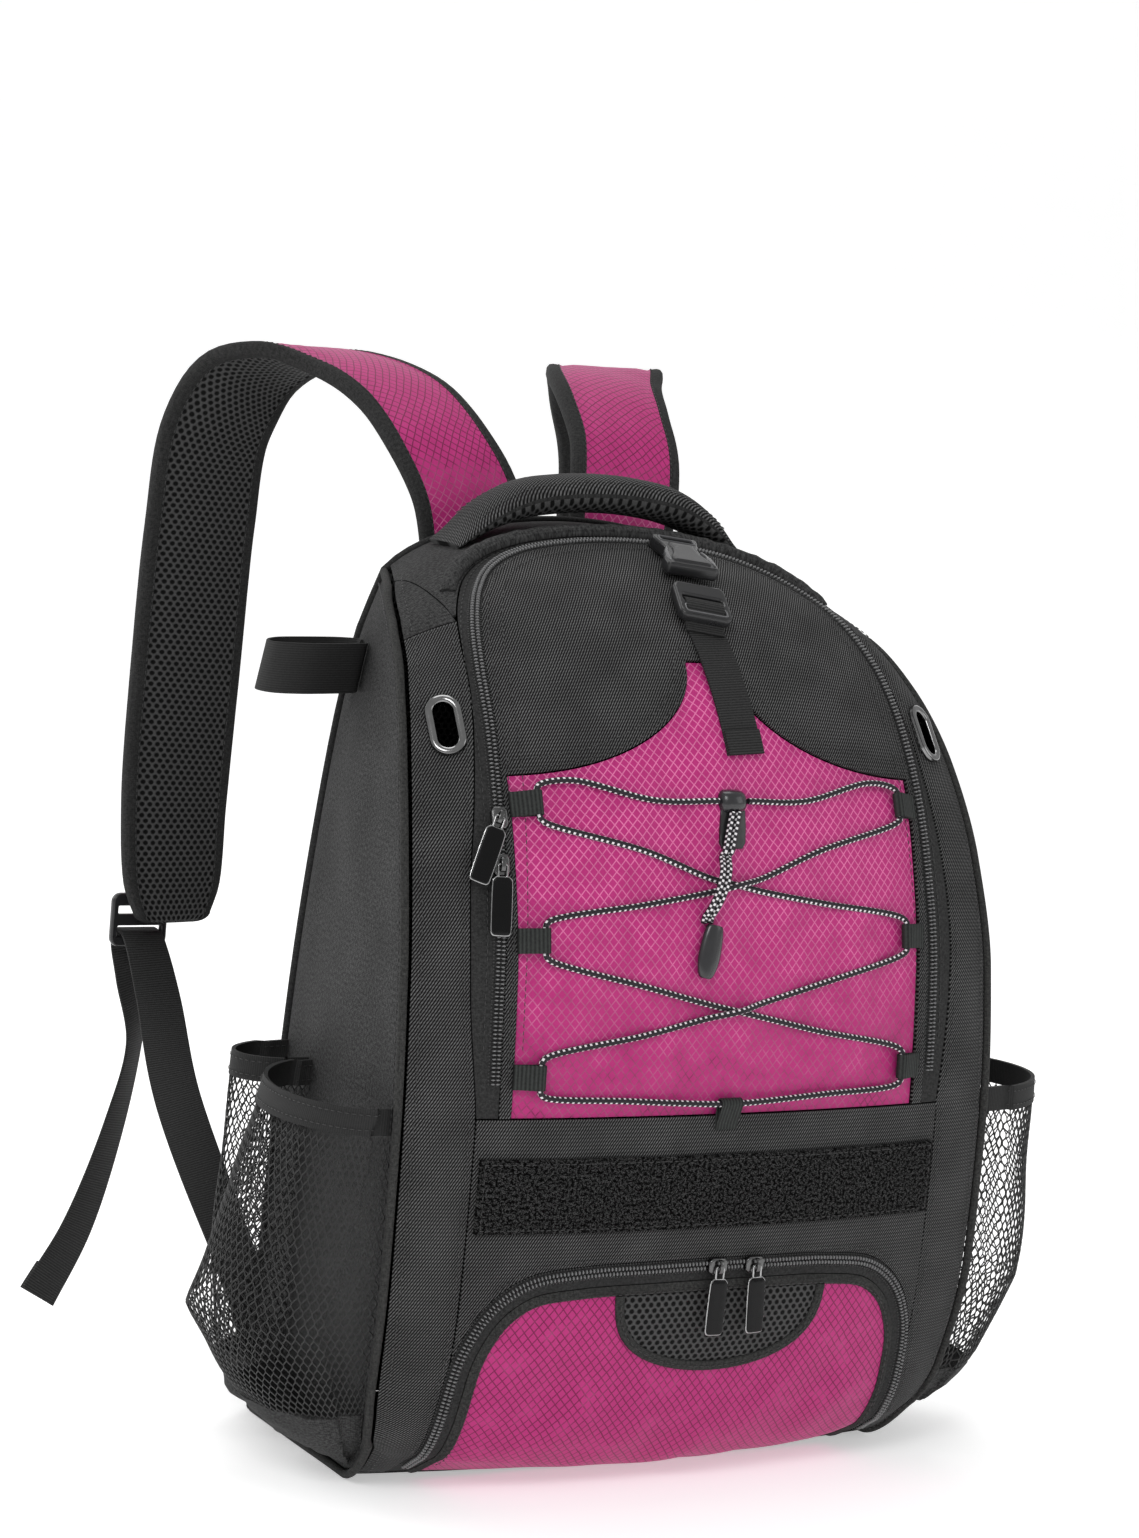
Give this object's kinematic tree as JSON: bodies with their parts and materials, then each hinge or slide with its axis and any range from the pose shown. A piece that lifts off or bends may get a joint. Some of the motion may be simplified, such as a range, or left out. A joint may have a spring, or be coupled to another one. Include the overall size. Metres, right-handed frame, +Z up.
{
  "type": "sports backpack",
  "caption": "Sports backpack with a laced front flap, a shoe compartment, net side pockets, a buckled closure strap and two padded shoulder straps.",
  "frame": {"origin": "middle of the base, on the flat outer face of the base panel that the bag stands on", "axes": "+Z up; the front with its lacing faces -Y, the wearer's back side and the shoulder straps are at +Y, +X is to the right seen from the front"},
  "size_m": [0.4886, 0.3941, 0.5595],
  "materials": {
    "black_air_mesh": "spacer mesh",
    "black_binding": "folded binding over a cord",
    "black_cloth": "smooth close weave",
    "black_elastic": "ribbed elastic",
    "black_enamel": "glossy enamel with a bright metal edge",
    "black_loop_pile": "brushed loop pile",
    "black_netting": "open knitted net",
    "black_plastic": "satin moulded plastic",
    "black_twill": "diagonal twill weave",
    "black_webbing": "flat woven webbing",
    "black_zip": "coil zip on woven tape",
    "dark_chrome": "polished dark chrome",
    "magenta_ripstop": "diamond ripstop, slight sheen",
    "speckled_cord": "braided, black with white flecks"
  },
  "bodies": {
    "bag": {"adjuster_left": "black_plastic", "adjuster_right": "black_plastic", "back_panel": "black_air_mesh", "base_panel": "black_cloth", "buckle_plug": "black_plastic", "buckle_socket": "black_plastic", "carry_handle": "black_cloth", "closure_anchor": "black_webbing", "closure_strap": "black_webbing", "cord_grip": "black_plastic", "cord_lock": "black_plastic", "cord_tail_left": "speckled_cord", "cord_tail_right": "speckled_cord", "eyelet_left": "dark_chrome", "eyelet_right": "dark_chrome", "flap_lower": "magenta_ripstop", "flap_upper": "black_twill", "lace_loop_bottom_left": "black_elastic", "lace_loop_bottom_right": "black_elastic", "lace_loop_foot": "black_elastic", "lace_loop_middle_left": "black_elastic", "lace_loop_middle_right": "black_elastic", "lace_loop_top_left": "black_elastic", "lace_loop_top_right": "black_elastic", "lacing_cord": "speckled_cord", "loop_strip": "black_loop_pile", "lower_band": "black_twill", "lower_webbing_left": "black_webbing", "lower_webbing_right": "black_webbing", "piping_back": "black_binding", "piping_front_left": "black_binding", "piping_front_right": "black_binding", "shoe_flap": "magenta_ripstop", "shoe_vent": "black_air_mesh", "shoulder_patch_left": "black_cloth", "shoulder_patch_right": "black_cloth", "side_band_left": "black_twill", "side_band_right": "black_twill", "side_loop_left": "black_elastic", "side_loop_right": "black_elastic", "side_panel_left": "black_cloth", "side_panel_right": "black_cloth", "side_pocket_front_left": "black_netting", "side_pocket_front_right": "black_netting", "side_pocket_rear_left": "black_netting", "side_pocket_rear_right": "black_netting", "slider_main_lower": "dark_chrome", "slider_main_upper": "dark_chrome", "slider_shoe_left": "dark_chrome", "slider_shoe_right": "dark_chrome", "storm_ridge": "black_cloth", "strap_pad_left": "magenta_ripstop", "strap_pad_right": "magenta_ripstop", "top_panel": "black_cloth", "zip_main": "black_zip", "zip_shoe": "black_zip"},
    "pull_main_upper": {"pull_main_upper": "black_enamel"},
    "pull_main_lower": {"pull_main_lower": "black_enamel"},
    "pull_shoe_left": {"pull_shoe_left": "black_enamel"},
    "pull_shoe_right": {"pull_shoe_right": "black_enamel"}
  },
  "joints": [
    {"name": "pull_main_upper_hinge", "type": "hinge", "parent": "bag", "child": "pull_main_upper", "pos_m": [-0.12946, -0.09076, 0.34407], "axis": [-0.8784, 0.3593, 0.3152], "range_deg": [0, 140]},
    {"name": "pull_main_lower_hinge", "type": "hinge", "parent": "bag", "child": "pull_main_lower", "pos_m": [-0.13028, -0.09785, 0.3216], "axis": [-0.9707, 0.2397, 0.0151], "range_deg": [0, 140]},
    {"name": "pull_shoe_left_hinge", "type": "hinge", "parent": "bag", "child": "pull_shoe_left", "pos_m": [0.00273, -0.12171, 0.11934], "axis": [-0.9994, -0.0034, 0.0348], "range_deg": [-3.9, 140]},
    {"name": "pull_shoe_right_hinge", "type": "hinge", "parent": "bag", "child": "pull_shoe_right", "pos_m": [0.02532, -0.12144, 0.11914], "axis": [-0.9992, -0.02, -0.0356], "range_deg": [-3.9, 140]}
  ]
}
